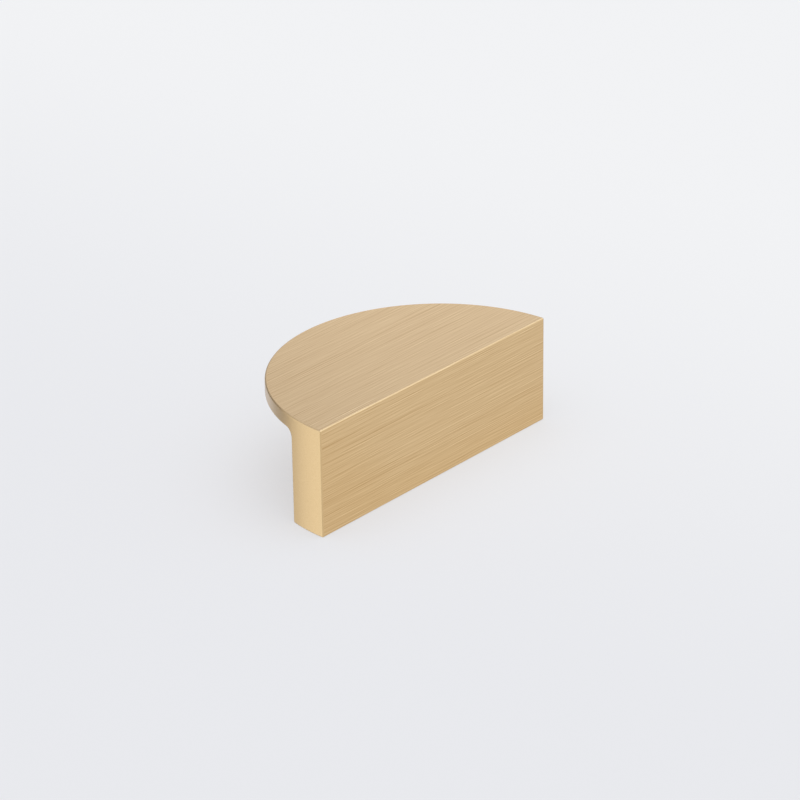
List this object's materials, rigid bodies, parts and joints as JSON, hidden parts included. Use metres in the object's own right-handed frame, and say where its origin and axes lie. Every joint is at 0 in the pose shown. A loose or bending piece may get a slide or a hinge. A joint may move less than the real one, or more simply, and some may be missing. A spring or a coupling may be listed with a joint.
{
  "type": "cabinet pull",
  "caption": "Half-moon cabinet pull in satin brushed brass: a half-disc plate on a straight leg, with tapped screw holes in its foot and a finger gap under the plate.",
  "frame": {"origin": "midway between the two screw holes, on the mounting face", "axes": "+X along the straight edge, +Y towards the round rim, +Z away from the cabinet front"},
  "size_m": [0.08, 0.0396, 0.027],
  "materials": {
    "brushed_brass": "satin, brushed along the straight edge on the top and front faces"
  },
  "bodies": {
    "root": {"half_moon_pull": "brushed_brass"}
  },
  "joints": []
}
